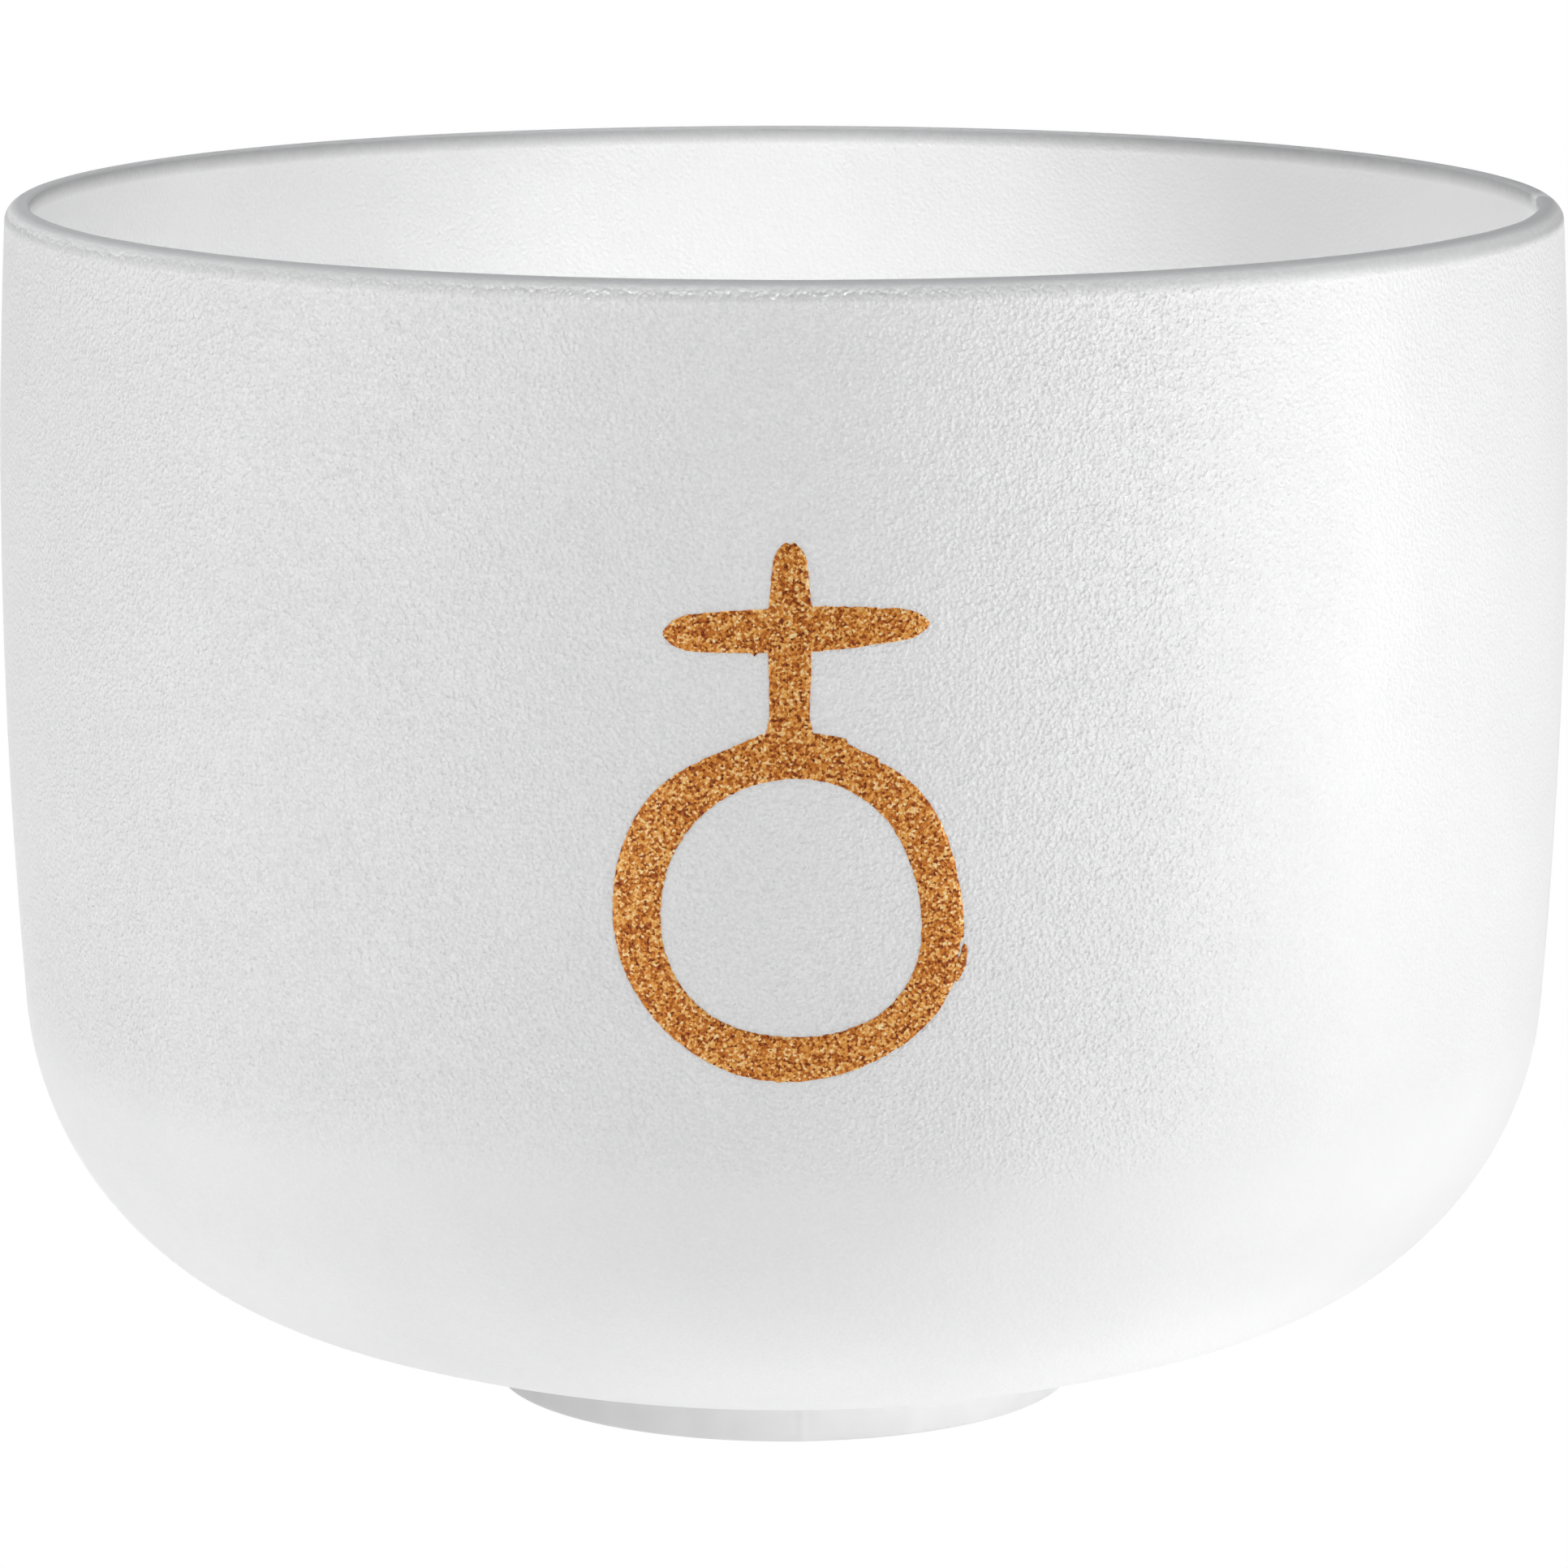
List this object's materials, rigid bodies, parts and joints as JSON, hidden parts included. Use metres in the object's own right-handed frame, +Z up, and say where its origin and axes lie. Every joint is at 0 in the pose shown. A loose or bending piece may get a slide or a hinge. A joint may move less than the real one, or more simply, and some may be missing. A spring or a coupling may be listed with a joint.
{
  "type": "singing bowl",
  "caption": "Frosted quartz singing bowl, tall and open with a rounded base, standing on a loose rubber ring; a circle and cross are painted on its front, and it rings when struck or rubbed.",
  "frame": {"origin": "centre of the underside of the rubber ring, on the surface that the bowl stands on", "axes": "+Z up along the bowl's axis; -Y out of the front, where the sign is painted; +X to the right of somebody who faces the sign"},
  "size_m": [0.257, 0.2571, 0.1978],
  "materials": {
    "frosted_quartz": "matte",
    "white_rubber": "matte",
    "sign_paint": "satin"
  },
  "bodies": {
    "ring": {"support_ring": "white_rubber"},
    "bowl": {"crystal_bowl": "frosted_quartz", "painted_circle": "sign_paint", "painted_cross": "sign_paint"}
  },
  "joints": [
    {"name": "bowl_lift", "type": "slide", "parent": "ring", "child": "bowl", "axis": [0, 0, 1], "range_m": [0, 0.1]}
  ]
}
